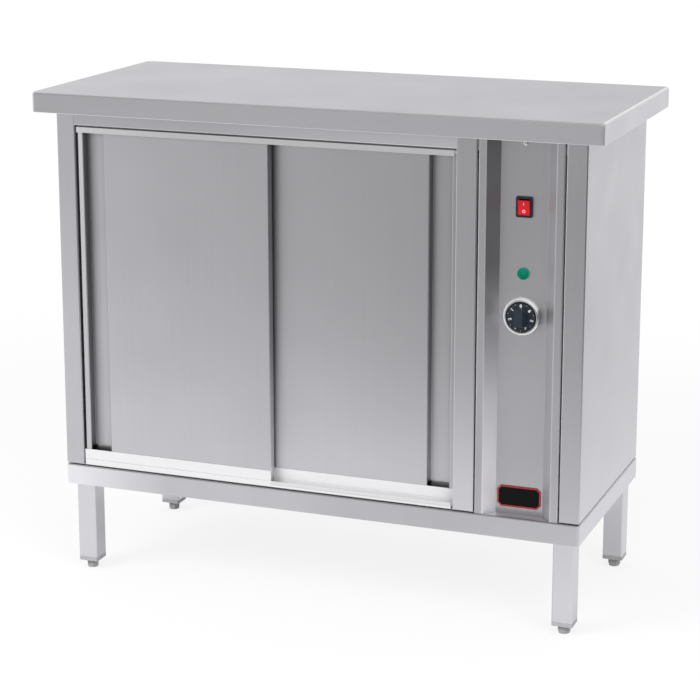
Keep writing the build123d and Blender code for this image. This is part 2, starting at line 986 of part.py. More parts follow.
def lamp_body():
    """Rim and barrel of the pilot lamp, with a seat for the lens."""
    rim = lamp_rim_diameter / 2
    barrel = lamp_barrel_diameter / 2
    seat = lamp_lens_diameter / 2 + press_gap
    return around_y(
        [
            (0, lamp_seat),
            (seat, lamp_seat),
            (seat, lamp_rim_thickness),
            (rim, lamp_rim_thickness),
            (rim, 0),
            (barrel, 0),
            (barrel, -lamp_barrel_length),
            (0, -lamp_barrel_length),
        ],
        lamp_height,
    )


def lamp_lens():
    """Lens with a domed front."""
    radius = lamp_lens_diameter / 2
    dome_radius = (radius**2 + lamp_lens_rise**2) / (2 * lamp_lens_rise)
    crown = panel_face - lamp_rim_thickness - lamp_lens_rise
    lens = rod_y(panel_center, lamp_height, radius, crown - lamp_lens_rise, panel_face - lamp_seat)
    return lens & Pos(panel_center, crown + dome_radius, lamp_height) * Sphere(dome_radius)


def dial_bezel():
    """Chrome ring round the knob, with a rounded outer rim."""
    outer, inner = bezel_diameter / 2, bezel_bore / 2
    ring = around_y([(inner, 0), (outer, 0), (outer, bezel_thickness), (inner, bezel_thickness)], knob_height)
    front_rims = ring.edges().filter_by(GeomType.CIRCLE).group_by(Axis.Y)[0]
    return fillet(front_rims.sort_by(SortBy.RADIUS)[-1], bezel_round)


def thermostat_knob():
    """Round skirt with a tapered grip bar across it."""
    radius = knob_diameter / 2
    skirt_front = knob_gap + knob_skirt
    skirt = around_y(
        [(0, knob_gap), (radius, knob_gap), (radius - knob_taper, skirt_front), (0, skirt_front)], knob_height
    )
    place = Pos(0, knob_height)
    base = place * RectangleRounded(grip_front_width + 2 * grip_slope, grip_length, grip_slope)
    crest = place * RectangleRounded(grip_front_width, grip_length - 2 * grip_slope, grip_slope)
    grip = loft([facing_panel(base, skirt_front), facing_panel(crest, skirt_front + grip_height)])
    bore_end = panel_face - shaft_end - press_gap
    bore = rod_y(panel_center, knob_height, shaft_diameter / 2 + press_gap, bore_end, panel_face)
    return skirt + grip - bore


def thermostat_shaft():
    return rod_y(
        panel_center,
        knob_height,
        shaft_diameter / 2,
        panel_face - shaft_end,
        panel_back + shaft_seat - seat_gap,
    )


def thermostat_body():
    """Thermostat housing behind the panel, with the bore of its shaft."""
    housing = block(
        panel_center - thermostat_width / 2,
        panel_center + thermostat_width / 2,
        panel_back,
        panel_back + thermostat_depth,
        knob_height - thermostat_tall / 2,
        knob_height + thermostat_tall / 2,
    )
    return housing - rod_y(
        panel_center, knob_height, shaft_diameter / 2 + seat_gap, panel_back - skin, panel_back + shaft_seat
    )


def bulb_axis():
    """X of the bulb, which lies in its clips on the partition."""
    return partition_face - bulb_clip_sheet - bulb_diameter / 2 - press_gap


def capillary_entry():
    """Y at which the capillary passes through the partition."""
    return bulb_front - capillary_lead


def thermostat_bulb():
    """Bulb with its capillary, which runs through the partition to the thermostat."""
    x = bulb_axis()
    bulb = rod_y(x, bulb_height, bulb_diameter / 2, bulb_front, bulb_front + bulb_length)
    tail = panel_back + thermostat_depth
    inlet = panel_center - capillary_offset
    route = FilletPolyline(
        (x, bulb_front, bulb_height),
        (x, capillary_entry(), bulb_height),
        (inlet, capillary_entry(), bulb_height),
        (inlet, capillary_entry(), knob_height),
        (inlet, tail, knob_height),
        radius=capillary_bend,
    )
    start = Plane((x, bulb_front, bulb_height), z_dir=(0, -1, 0))
    return bulb + sweep(start * Circle(capillary_diameter / 2), path=route)


def bulb_clips():
    """Two straps that hold the bulb to the partition."""
    x = bulb_axis()
    bore = bulb_diameter / 2 + press_gap
    outer = bore + bulb_clip_sheet
    foot_height_z = outer + bulb_clip_foot
    strap = Pos(x, bulb_height) * (Circle(outer) - Circle(bore))
    sole = Pos(partition_face - bulb_clip_sheet / 2, bulb_height)
    strap += sole * Rectangle(bulb_clip_sheet, 2 * foot_height_z)
    strap -= Pos(x, bulb_height) * Circle(bore)
    clips = []
    for middle in (bulb_front + bulb_clip_inset, bulb_front + bulb_length - bulb_clip_inset):
        near = middle - bulb_clip_width / 2
        plane = Plane((0, near, 0), x_dir=(1, 0, 0), z_dir=(0, -1, 0))
        clips.append(extrude(plane * strap, amount=-bulb_clip_width))
    return Compound(children=clips)


def nameplate():
    """Bare plate low on the control column."""
    middle = base_top + nameplate_raise + nameplate_height / 2 + panel_floor_gap
    outline = chamfer(Rectangle(nameplate_width, nameplate_height).vertices(), nameplate_corner)
    return extrude(facing_panel(Pos(0, middle) * outline, 0), amount=nameplate_thickness)


def shelf_span():
    return liner_left_face + shelf_end_gap, partition_face - shelf_end_gap


def shelf_reach():
    return jamb_rear + shelf_front_gap, liner_rear_face - shelf_rear_gap


def slot_pattern(z0, z1):
    """Rows of slots that let warm air through a shelf."""
    x0, x1 = shelf_span()
    y0, y1 = shelf_reach()
    usable = x1 - x0 - 2 * slot_margin
    columns = int(usable / slot_pitch) + 1
    start = (x0 + x1) / 2 - (columns - 1) * slot_pitch / 2
    row_step = (y1 - y0) / slot_rows
    slots = []
    for i in range(columns):
        for j in range(slot_rows):
            x = start + i * slot_pitch
            y = y0 + (j + 0.5) * row_step
            slot = Pos(x, y, (z0 + z1) / 2) * Box(slot_width, slot_length, z1 - z0)
            slots.append(slot)
    return slots


def mid_shelf():
    """Slotted shelf with its edges turned down, laid on the shelf rails."""
    x0, x1 = shelf_span()
    y0, y1 = shelf_reach()
    low = shelf_height - shelf_edge
    outer = block(x0, x1, y0, y1, low, shelf_height)
    under = shelf_height - shelf_sheet
    hollow = block(x0 + shelf_sheet, x1 - shelf_sheet, y0 + shelf_sheet, y1 - shelf_sheet, low, under)
    return outer - hollow - slot_pattern(low, shelf_height)


def shelf_rails():
    """Angles on the left liner and the partition."""
    y0, y1 = shelf_reach()
    ledge = shelf_height - shelf_edge
    half = shelf_rail_sheet / 2
    rails = []
    for wall, inward in ((liner_left_face, 1), (partition_face, -1)):
        line = [
            (wall + inward * half, ledge - shelf_rail_leg),
            (wall + inward * half, ledge - half),
            (wall + inward * shelf_rail_leg, ledge - half),
        ]
        section = Plane.XZ.offset(-y1 + shelf_rail_setback) * bent_section(line, shelf_rail_sheet)
        rails.append(extrude(section, amount=y1 - y0 - 2 * shelf_rail_setback))
    return Compound(children=rails)


def heater_deck():
    """Slotted deck over the heater, standing on its turned-down front and rear edges."""
    half = shelf_sheet / 2
    x0, x1 = shelf_span()
    y0, y1 = shelf_reach()
    line = [
        (y0 + half, body_bottom),
        (y0 + half, deck_height - half),
        (y1 - half, deck_height - half),
        (y1 - half, body_bottom),
    ]
    deck = folded_along_x(line, shelf_sheet, x0, x1)
    return deck - slot_pattern(deck_height - 2 * shelf_sheet, deck_height + shelf_sheet)


def heating_element():
    """Tubular element bent into a U, with its ends through the partition."""
    end = partition_face + liner_sheet + element_terminal
    turn = liner_left_face + element_left_gap
    near, far = element_rows()
    route = FilletPolyline(
        (end, near, element_height),
        (turn, near, element_height),
        (turn, far, element_height),
        (end, far, element_height),
        radius=element_bend,
    )
    start = Plane((end, near, element_height), z_dir=(-1, 0, 0))
    return sweep(start * Circle(element_diameter / 2), path=route)


def element_supports():
    """Angles on the floor with holes that carry the element."""
    near, far = element_rows()
    half = element_support_sheet / 2
    left = liner_left_face + element_left_gap + element_bend + element_support_foot
    right = partition_face - 2 * element_support_foot
    step = (right - left) / (element_support_count - 1)
    supports = []
    for i in range(element_support_count):
        x = left + i * step
        line = [
            (x, element_height + element_support_margin),
            (x, body_bottom + half),
            (x + element_support_foot, body_bottom + half),
        ]
        width = far - near + 2 * element_support_margin
        section = Plane.XZ.offset(-far - element_support_margin) * bent_section(line, element_support_sheet)
        angle = extrude(section, amount=width)
        for y in (near, far):
            bore = Pos(x, y, element_height) * Rot(0, 90, 0)
            angle -= bore * Cylinder(element_diameter / 2 + seat_gap, element_support_foot)
        supports.append(angle)
    return Compound(children=supports)


def terminal_block():
    """Terminal strip on the partition."""
    wall = partition_face + liner_sheet
    low = body_bottom + terminal_rise
    strip = block(
        wall,
        wall + terminal_width,
        terminal_front,
        terminal_front + terminal_length,
        low,
        low + terminal_tall,
    )
    pitch = terminal_length / terminal_ways
    for i in range(terminal_ways):
        y = terminal_front + (i + 0.5) * pitch
        bore = Pos(wall + terminal_width, y, low + terminal_tall / 2) * Rot(0, 90, 0)
        strip -= bore * Cylinder(terminal_bore / 2, terminal_width)
    return strip


def cable_gland():
    """Gland in the back panel: hexagon and dome outside, thread through the sheet, nut inside."""
    x, z = gland_place()
    outside = back_face + back_sheet
    facing_back = Plane((x, outside, z), x_dir=(-1, 0, 0), z_dir=(0, 1, 0))
    hexagon = RegularPolygon(gland_flats / 2, 6, major_radius=False)
    gland = extrude(facing_back * hexagon, amount=gland_hex_depth)
    gland += rod_y(
        x, z, gland_dome_diameter / 2, outside + gland_hex_depth, outside + gland_hex_depth + gland_dome_depth
    )
    gland += rod_y(x, z, gland_thread / 2, back_face - gland_nut_depth, outside)
    gland += extrude(
        Plane((x, back_face, z), x_dir=(1, 0, 0), z_dir=(0, -1, 0)) * hexagon, amount=gland_nut_depth
    )
    inner_end = back_face - 2 * gland_nut_depth
    return gland - rod_y(x, z, gland_bore / 2, inner_end, outside + gland_hex_depth + 2 * gland_dome_depth)


def pan_screw(x, z, seat, outward):
    """Pan-head screw along Y. Its head stands on the seat, on the outward side."""
    head_radius = screw_head_diameter / 2
    tip = seat - outward * screw_length
    crown = seat + outward * screw_head_height
    shank = rod_y(x, z, screw_diameter / 2, min(seat, tip), max(seat, tip))
    head = rod_y(x, z, head_radius, min(seat, crown), max(seat, crown))
    rim = head.edges().filter_by(GeomType.CIRCLE).sort_by(Axis.Y)
    outer_rim = rim[-1] if outward > 0 else rim[0]
    return shank + fillet(outer_rim, screw_head_round)


def panel_screws():
    """Screws of the back panel, and the one at the top of the control column."""
    screws = [pan_screw(x, z, rear, 1) for x, z in rear_screw_places()]
    screws.append(pan_screw(panel_center, panel_screw_height(), panel_face, -1))
    return Compound(children=screws)


def all_nodes():
    nodes = {
        "worktop": worktop(),
        "worktop_stiffeners": worktop_stiffeners(),
        "base_tray": base_tray(),
        "leg_nuts": leg_nuts(),
        "cabinet_floor": cabinet_floor(),
        "floor_seal": floor_seal(),
        "left_side_panel": left_side_panel(),
        "right_side_panel": right_side_panel(),
        "center_stile": center_stile(),
        "header_rail": header_rail(),
        "back_panel": back_panel(),
        "left_liner": left_liner(),
        "rear_liner": rear_liner(),
        "roof_liner": roof_liner(),
        "insulation": insulation(),
        "partition": partition(),
        "sill_track": sill_track(),
        "upper_track": upper_track(),
        "control_panel": control_panel(),
        "panel_bracket": panel_bracket(),
        "switch_body": switch_body(),
        "switch_rocker": switch_rocker(),
        "lamp_body": lamp_body(),
        "lamp_lens": lamp_lens(),
        "dial_bezel": dial_bezel(),
        "thermostat_knob": thermostat_knob(),
        "thermostat_shaft": thermostat_shaft(),
        "thermostat_body": thermostat_body(),
        "thermostat_bulb": thermostat_bulb(),
        "bulb_clips": bulb_clips(),
        "nameplate": nameplate(),
        "mid_shelf": mid_shelf(),
        "shelf_rails": shelf_rails(),
        "heater_deck": heater_deck(),
        "heating_element": heating_element(),
        "element_supports": element_supports(),
        "terminal_block": terminal_block(),
        "cable_gland": cable_gland(),
        "panel_screws": panel_screws(),
    }
    for name, corner in leg_corners().items():
        nodes[f"{name}_leg"] = leg(corner)
        nodes[f"{name}_leg_cap"] = leg_cap(corner)
        nodes[f"{name}_foot"] = foot(corner)
    for name, door in (("left_door", Door(-1, 0)), ("right_door", Door(1, 1))):
        nodes[f"{name}_skin"] = door_skin(door)
        nodes[f"{name}_back"] = door_back(door)
        nodes[f"{name}_rail"] = door_rail(door)
        nodes[f"{name}_glides"] = door_glides(door)
    return nodes


os.makedirs("parts", exist_ok=True)
for node_name, solid in all_nodes().items():
    export_step(solid, f"parts/{node_name}.step")
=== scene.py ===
import bmesh
import bpy
import json
import math
from mathutils import Matrix, Vector


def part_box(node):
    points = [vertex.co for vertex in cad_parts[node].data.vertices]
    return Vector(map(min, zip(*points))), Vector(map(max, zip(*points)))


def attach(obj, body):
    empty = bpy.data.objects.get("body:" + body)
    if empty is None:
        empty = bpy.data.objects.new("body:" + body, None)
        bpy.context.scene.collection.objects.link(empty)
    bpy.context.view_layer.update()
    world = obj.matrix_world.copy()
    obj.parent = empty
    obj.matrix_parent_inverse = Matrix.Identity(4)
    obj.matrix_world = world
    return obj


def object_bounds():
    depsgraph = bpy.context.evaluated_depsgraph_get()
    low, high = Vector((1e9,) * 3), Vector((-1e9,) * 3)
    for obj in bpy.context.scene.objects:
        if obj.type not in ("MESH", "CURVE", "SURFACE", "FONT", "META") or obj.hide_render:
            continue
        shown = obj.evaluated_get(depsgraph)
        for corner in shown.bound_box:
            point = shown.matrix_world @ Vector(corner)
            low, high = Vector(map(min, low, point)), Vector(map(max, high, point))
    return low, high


# Looks of a heated plate cabinet: studio, camera, finishes and the small marks on its controls.
# Metres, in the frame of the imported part: X is the width, the doors face -Y, Z is up.

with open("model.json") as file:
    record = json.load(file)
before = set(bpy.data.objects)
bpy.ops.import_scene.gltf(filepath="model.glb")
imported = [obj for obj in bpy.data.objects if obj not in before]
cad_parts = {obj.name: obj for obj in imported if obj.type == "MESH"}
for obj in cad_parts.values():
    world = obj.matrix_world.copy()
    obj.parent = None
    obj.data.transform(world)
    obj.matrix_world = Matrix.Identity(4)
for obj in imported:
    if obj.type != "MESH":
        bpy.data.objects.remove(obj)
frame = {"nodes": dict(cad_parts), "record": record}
cad_low, cad_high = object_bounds()
scene = bpy.context.scene
scene.view_settings.view_transform = "Standard"

# Camera, fitted to the corners of the cabinet in the photograph
camera_place = Vector((1.3017, -3.4232, 1.3741))
camera_yaw = math.radians(20.90)
camera_pitch = math.radians(-13.36)
camera_lens = 110.54
camera_sensor = 36.0
camera_shift = -0.08

# Studio as the steel mirrors it: white paper behind, and a dim room to the front right under a soft light.
# The wall's foot and the ceiling's start and end are sines of the elevation, and the other starts and ends
# are cosines to the room's direction.
white = (1.0, 1.0, 1.0, 1.0)
room_direction = Vector((0.766, -0.643, 0.0))
room_start = -0.05
room_end = 0.78
room_level = 0.08
wall_start = -0.5
wall_end = 0.05
wall_level = 0.30
wall_foot = 0.10
soft_light_start = 0.15
soft_light_end = 0.65
soft_light_level = 0.65
ceiling_start = 0.35
ceiling_end = 0.9
ceiling_level = 0.70
paper_level = 0.99
diffuse_level = 0.75

# Floor: pale paper that fades into the room far out, mirrored a little darker in front of the object, and
# mirrored darker under it as a painted shadow. front_floor_start is a cosine to the front's direction.
floor_radius = 40.0
floor_sides = 64
floor_albedo = 0.18
far_floor_albedo = 0.02
floor_glow = 0.80
footprint = Vector((0.47, 0.20, 0.0))
near_floor = 0.6
lit_floor = 1.0
far_floor = 2.2
floor_falloff = 1.5
front_direction = Vector((0.2, -0.98, 0.0))
front_floor_start = 0.8
front_floor_level = 0.88
side_floor_level = 1.0
floor_shadow_reach = 0.04
floor_shadow_level = 0.70

# Soft lamps for the plastics
lamp_aim = Vector((0.0, 0.0, 0.45))
lamp_size = 2.4
key_place = Vector((-2.4, -3.0, 2.8))
key_power = 110.0
fill_place = Vector((2.6, -2.2, 2.2))
fill_power = 55.0

# Surfaces: two tones, and the limits of the masks for noise, edges, corners with their painted shade, and
# bands
steel = (0.600, 0.593, 0.622)
bright = (0.94, 0.937, 0.955)
noise_roughness = 0.6
noise_low = 0.3
noise_high = 0.7
edge_flat = 0.995
edge_turned = 0.85
edge_samples = 4
corner_reach = 0.02
corner_closed = 0.25
corner_open = 0.85
corner_samples = 6
grain_blur = 0.75
grain_tilt = 0.02
band_border = 0.0004

# Places on the sheets where their painted light and shade change
foot_start = 0.45
foot_end = 0.25
pull_highlight_foot = 0.1
pull_corner = 0.024
pull_edge = 0.0093
pull_width = 0.040
pull_run = 0.0025
pull_mouth = 0.001
pull_deep = 0.003
panel_flange = 0.0135
panel_run = 0.0175
panel_line = 0.0014
wall_shade_height = 0.62
wall_bright_height = 0.40
flats_shade_start = 0.42
flats_shade_end = 0.30

# Small marks
mark_proud = 0.00012
mark_sunk = 0.0002
mark_steps = 32
same_point = 1e-6
sight_distance = 1.0
numeral_count = 7
numeral_radius = 0.0188
numeral_size = 0.0052
numeral_font_size = 1.4 * numeral_size
numeral_weight = 0.00028
numeral_steps = 6
tick_radius = 0.0220
tick_length = 0.0012
tick_width = 0.0007
tick_cut = 0.3 * tick_width
rocker_mark_height = 0.0054
rocker_mark_stroke = 0.0014
rocker_line_width = 1.2 * rocker_mark_stroke
rim_width = 0.0026
rim_inset = 0.0002
rim_cut = 0.0064
weld_reach = 0.0016
weld_depth = 0.0002
cross_length = 0.0024
cross_width = 0.0005
cross_turn = math.radians(20)


def make_camera():
    data = bpy.data.cameras.new("camera")
    data.lens = camera_lens
    data.sensor_width = camera_sensor
    data.shift_y = camera_shift
    camera = bpy.data.objects.new("camera", data)
    camera.location = camera_place
    camera.rotation_euler = (math.pi / 2 + camera_pitch, 0.0, camera_yaw)
    scene.collection.objects.link(camera)
    scene.camera = camera


class Graph:
    """A node tree with short calls to add and join nodes."""

    def __init__(self, tree):
        self.tree = tree
        tree.nodes.clear()

    def add(self, kind, inputs=None, **settings):
        node = self.tree.nodes.new(kind)
        for name, value in settings.items():
            setattr(node, name, value)
        for name, value in (inputs or {}).items():
            self.put(node.inputs[name], value)
        return node

    def put(self, socket, value):
        if isinstance(value, bpy.types.NodeSocket):
            self.tree.links.new(value, socket)
        else:
            socket.default_value = value

    def math(self, operation, a, b=0.0):
        return self.add("ShaderNodeMath", {0: a, 1: b}, operation=operation).outputs[0]

    def vector(self, operation, a, b=(0.0, 0.0, 0.0)):
        node = self.add("ShaderNodeVectorMath", {0: a, 1: b}, operation=operation)
        return node.outputs["Value" if operation in ("DOT_PRODUCT", "LENGTH") else "Vector"]

    def mix(self, factor, a, b):
        return self.add("ShaderNodeMix", {"Factor": factor, "A": a, "B": b}).outputs["Result"]

    def spread(self, value, low, high, to_low, to_high):
        """Map a value from one range to another, held at its ends."""
        inputs = {"Value": value, "From Min": low, "From Max": high, "To Min": to_low, "To Max": to_high}
        return self.add("ShaderNodeMapRange", inputs).outputs["Result"]

    def fade(self, share, start, end):
        """Value that goes from a start at share 0 to an end at share 1."""
        return self.spread(share, 0.0, 1.0, start, end)

    def ramp(self, value, stops):
        node = self.add("ShaderNodeValToRGB", {"Fac": value})
        elements = node.color_ramp.elements
        while len(elements) < len(stops):
            elements.new(0.5)
        for element, (place, color) in zip(elements, stops):
            element.position = place
            element.color = (*color, 1.0)
        return node.outputs["Color"]

    def room(self, direction):
        """Light that comes level from a direction: white paper behind, dim room ahead."""
        ahead = self.vector("DOT_PRODUCT", direction, room_direction)
        return self.spread(ahead, room_start, room_end, 1.0, room_level)

    def mirrored(self, path):
        """1 for a ray that leaves a shiny or clear surface, 0 for others."""
        return self.math("MAXIMUM", path["Is Glossy Ray"], path["Is Transmission Ray"])


def make_world():
    """Paper, room and ceiling as the steel mirrors them, and plain white to the camera."""
    world = bpy.data.worlds.new("studio")
    scene.world = world
    world.use_nodes = True
    graph = Graph(world.node_tree)
    path = graph.add("ShaderNodeLightPath").outputs
    toward = graph.add("ShaderNodeTexCoord").outputs["Generated"]
    height = graph.add("ShaderNodeSeparateXYZ", {"Vector": toward}).outputs["Z"]
    ahead = graph.vector("DOT_PRODUCT", toward, room_direction)
    paper = graph.spread(ahead, wall_start, wall_end, 1.0, wall_level)
    soft_light = graph.spread(ahead, soft_light_start, soft_light_end, 0.0, soft_light_level)
    wall = graph.math("ADD", paper, soft_light)
    raised = graph.spread(height, 0.0, wall_foot, 0.0, 1.0)
    around = graph.mix(raised, graph.room(toward), wall)
    ceiling = graph.spread(height, ceiling_start, ceiling_end, paper_level, ceiling_level)
    lit = graph.mix(graph.mirrored(path), diffuse_level, graph.math("MULTIPLY", around, ceiling))
    strength = graph.math("MAXIMUM", lit, path["Is Camera Ray"])
    background = graph.add("ShaderNodeBackground", {"Color": white, "Strength": strength})
    output = graph.add("ShaderNodeOutputWorld")
    graph.put(output.inputs["Surface"], background.outputs["Background"])


def grey(level):
    return (level, level, level)


def floor_material():
    """Pale floor: white to the camera, and in the steel white near the object, darker under it as a painted
    shadow, and dim out in the room.
    """
    material = bpy.data.materials.new("floor")
    material.use_nodes = True
    graph = Graph(material.node_tree)
    path = graph.add("ShaderNodeLightPath").outputs
    place = graph.add("ShaderNodeNewGeometry").outputs["Position"]
    beyond = graph.vector("SUBTRACT", graph.vector("ABSOLUTE", place), footprint)
    distance = graph.vector("LENGTH", graph.vector("MAXIMUM", beyond))
    near = graph.math("POWER", graph.spread(distance, near_floor, far_floor, 1.0, 0.0), floor_falloff)
    close = graph.spread(distance, lit_floor, far_floor, 1.0, 0.0)
    outward = graph.vector("NORMALIZE", place)
    ahead = graph.vector("DOT_PRODUCT", outward, front_direction)
    paper = graph.spread(ahead, front_floor_start, 1.0, side_floor_level, front_floor_level)
    around = graph.mix(near, graph.room(outward), paper)
    # Painted shadow of the object on the floor, seen in the steel's reflections
    under = graph.spread(distance, 0.0, floor_shadow_reach, floor_shadow_level, 1.0)
    level = graph.math("MULTIPLY", around, under)
    own = graph.fade(close, 1.0, floor_glow)
    lamplit = graph.math("SUBTRACT", 1.0, own)
    mirrored = graph.math("MULTIPLY", graph.mirrored(path), graph.math("SUBTRACT", level, lamplit))
    shown = graph.math("MAXIMUM", mirrored, graph.math("MULTIPLY", path["Is Camera Ray"], own))
    glow = graph.add("ShaderNodeEmission", {"Color": white, "Strength": shown})
    tone = graph.ramp(close, [(0.0, grey(far_floor_albedo)), (1.0, grey(floor_albedo))])
    matt = graph.add("ShaderNodeBsdfDiffuse", {"Color": tone})
    both = graph.add("ShaderNodeAddShader", {0: glow.outputs[0], 1: matt.outputs[0]})
    output = graph.add("ShaderNodeOutputMaterial")
    graph.put(output.inputs["Surface"], both.outputs[0])
    return material


def make_floor():
    mesh = bpy.data.meshes.new("floor")
    shape = bmesh.new()
    bmesh.ops.create_circle(shape, cap_ends=True, radius=floor_radius, segments=floor_sides)
    shape.to_mesh(mesh)
    shape.free()
    floor = bpy.data.objects.new("floor", mesh)
    mesh.materials.append(floor_material())
    scene.collection.objects.link(floor)


def make_lamp(name, place, power):
    """Soft square lamp that lights the plastics, and isn't mirrored in the steel."""
    data = bpy.data.lights.new(name, "AREA")
    data.size = lamp_size
    data.energy = power
    lamp = bpy.data.objects.new(name, data)
    lamp.location = place
    lamp.rotation_euler = (lamp_aim - place).to_track_quat("-Z", "Y").to_euler()
    lamp.visible_glossy = False
    lamp.visible_camera = False
    scene.collection.objects.link(lamp)


class Finish(Graph):
    """A material with one Principled shader, its texture space fixed to the piece."""

    def __init__(self, name, inputs=None):
        self.material = bpy.data.materials.new(name)
        self.material.use_nodes = True
        super().__init__(self.material.node_tree)
        self.shader = self.add("ShaderNodeBsdfPrincipled", inputs)
        output = self.add("ShaderNodeOutputMaterial")
        self.put(output.inputs["Surface"], self.shader.outputs["BSDF"])
        self.coords = self.add("ShaderNodeTexCoord").outputs["Object"]

    def set(self, socket, value):
        self.put(self.shader.inputs[socket], value)

    def noise(self, size, detail=3.0):
        """Noise whose features are about the given size along X, Y and Z."""
        scale = tuple(1.0 / s for s in size)
        mapping = self.add("ShaderNodeMapping", {"Vector": self.coords, "Scale": scale})
        inputs = {
            "Vector": mapping.outputs["Vector"],
            "Scale": 1.0,
            "Detail": detail,
            "Roughness": noise_roughness,
        }
        return self.add("ShaderNodeTexNoise", inputs).outputs["Fac"]

    def cloud(self, size, detail=3.0):
        """Noise with features of one size in all directions."""
        return self.noise((size, size, size), detail)

    def streaks(self, grain, width, length):
        """Noise drawn out along the grain."""
        size = [width] * 3
        size["xyz".index(grain)] = length
        return self.noise(size)

    def blend(self, a, b, share):
        """Sum of two values, with a share of the second."""
        return self.math("ADD", self.math("MULTIPLY", a, 1.0 - share), self.math("MULTIPLY", b, share))

    def edges(self, radius):
        """1 along cut edges and bends, 0 on the flats."""
        rounded = self.add("ShaderNodeBevel", {"Radius": radius}, samples=edge_samples).outputs["Normal"]
        flat = self.add("ShaderNodeNewGeometry").outputs["Normal"]
        return self.spread(self.vector("DOT_PRODUCT", rounded, flat), edge_flat, edge_turned, 0.0, 1.0)

    def shelter(self, dark):
        """Painted shade: 1 in the open, falling to a dark tone in corners and narrow gaps."""
        inputs = {"Distance": corner_reach}
        free = self.add("ShaderNodeAmbientOcclusion", inputs, samples=corner_samples).outputs["AO"]
        return self.spread(free, corner_closed, corner_open, dark, 1.0)

    def zone(self, axis, start, end):
        """0 before the start and 1 past the end along an axis of the piece."""
        place = self.add("ShaderNodeSeparateXYZ", {"Vector": self.coords}).outputs["XYZ".index(axis)]
        return self.spread(place, start, end, 0.0, 1.0)

    def near(self, axis, face, start, end):
        """Zone whose start and end are given from a face of the piece."""
        return self.zone(axis, face + start, face + end)

    def band(self, axis, start, end):
        """1 between two places along an axis of the piece, with soft borders."""
        begun = self.zone(axis, start - band_border, start)
        return self.both(begun, self.zone(axis, end + band_border, end))

    def radius(self, middle):
        """Distance from a line along Y through a point."""
        offset = self.vector("SUBTRACT", self.coords, middle)
        return self.vector("LENGTH", self.vector("MULTIPLY", offset, (1.0, 0.0, 1.0)))

    def both(self, share, *others):
        """Product of shares or factors."""
        for other in others:
            share = self.math("MULTIPLY", share, other)
        return share

    def gain(self, *shares, factor):
        """Tone factor that is 1, and goes to the given one where all the shares are 1."""
        return self.fade(self.both(*shares), 1.0, factor)

    def tones(self, value, *stops, factor=None):
        """Colour from stops along a value, times a tone factor."""
        color = self.ramp(value, stops)
        if factor is not None:
            scaled = self.add("ShaderNodeVectorMath", {0: color, "Scale": factor}, operation="SCALE")
            color = scaled.outputs["Vector"]
        self.set("Base Color", color)

    def roughen(self, value, middle, swing, factor=None):
        """Roughness that swings about a middle with a noise, times a factor."""
        rough = self.spread(value, noise_low, noise_high, middle - swing, middle + swing)
        self.set("Roughness", rough if factor is None else self.both(rough, factor))

    def drawn(self, grain):
        """Blur reflections more across the grain than along it."""
        along = (1.0, 0.0, grain_tilt) if grain == "x" else (grain_tilt, 0.0, 1.0)
        normal = self.add("ShaderNodeNewGeometry").outputs["Normal"]
        self.set("Anisotropic", grain_blur)
        self.set("Tangent", self.vector("CROSS_PRODUCT", normal, along))

    def bump(self, height, depth, strength):
        inputs = {"Height": height, "Distance": depth, "Strength": strength}
        self.set("Normal", self.add("ShaderNodeBump", inputs).outputs["Normal"])


def shade(color, factor):
    return tuple(min(1.0, c * factor) for c in color)


def brushed(
    name,
    tone,
    grain,
    roughness=0.36,
    contrast=0.025,
    edge_wear_and_highlight=0.10,
    metallic=1.0,
    corner=1.0,
    rubbed=None,
    polish=None,
):
    """Sheet metal with a drawn grain, painted shade in its corners, bright edges partly from use and partly
    a painted highlight, zones of painted light and shade, and zones polished smoother.
    """
    flat_tones = 0.6
    finish = Finish(name, {"Metallic": metallic})
    finish.drawn(grain)
    fine = finish.streaks(grain, width=0.0004, length=0.06)
    broad = finish.streaks(grain, width=0.005, length=0.9)
    handling = finish.cloud(size=0.16, detail=2.0)
    streaked = finish.spread(finish.blend(fine, broad, share=0.35), noise_low, noise_high, 0.0, flat_tones)
    # Bright edges: partly from use, partly a painted highlight on bends and cut edges
    bright_edges = finish.math("MULTIPLY", finish.edges(radius=0.0012), 1.0 - flat_tones)
    # Painted shade in corners and narrow gaps
    factor = finish.shelter(corner) if corner < 1.0 else None
    # Zones of painted light and shade on the piece
    if rubbed:
        factor = rubbed(finish, factor or 1.0)
    finish.tones(
        finish.math("ADD", streaked, bright_edges),
        (0.0, shade(tone, 1 - contrast)),
        (flat_tones, shade(tone, 1 + contrast)),
        (1.0, shade(tone, 1 + contrast + edge_wear_and_highlight)),
        factor=factor,
    )
    smooth = polish(finish) if polish else None
    finish.roughen(finish.blend(fine, handling, share=0.6), roughness, swing=0.05, factor=smooth)
    finish.bump(fine, depth=0.00002, strength=0.5)
    return finish.material


def moulded(name, color, roughness, variation=0.10, specular=0.35, rubbed=None):
    """Moulded plastic with a fine pebble, slight colour variation, brighter edges and an optional factor of
    painted shade.
    """
    flat_tones = 0.7
    edge_lift = 0.01
    finish = Finish(name, {"Specular IOR Level": specular})
    pebble = finish.cloud(size=0.0006, detail=2.0)
    patches = finish.cloud(size=0.008, detail=2.0)
    bright_edges = finish.math("MULTIPLY", finish.edges(radius=0.0006), 1.0 - flat_tones)
    finish.tones(
        finish.math("ADD", finish.spread(patches, noise_low, noise_high, 0.0, flat_tones), bright_edges),
        (0.0, shade(color, 1 - variation)),
        (flat_tones, shade(color, 1 + variation)),
        (1.0, tuple(c * (1 + variation) + edge_lift for c in color)),
        factor=rubbed(finish, 1.0) if rubbed else None,
    )
    finish.roughen(pebble, roughness, swing=0.06)
    finish.bump(pebble, depth=0.00003, strength=0.6)
    return finish.material


def crystals(finish, size, output, **settings):
    """Pattern of cells of about the given size."""
    inputs = {"Vector": finish.coords, "Scale": 1.0 / size}
    return finish.add("ShaderNodeTexVoronoi", inputs, **settings).outputs[output]


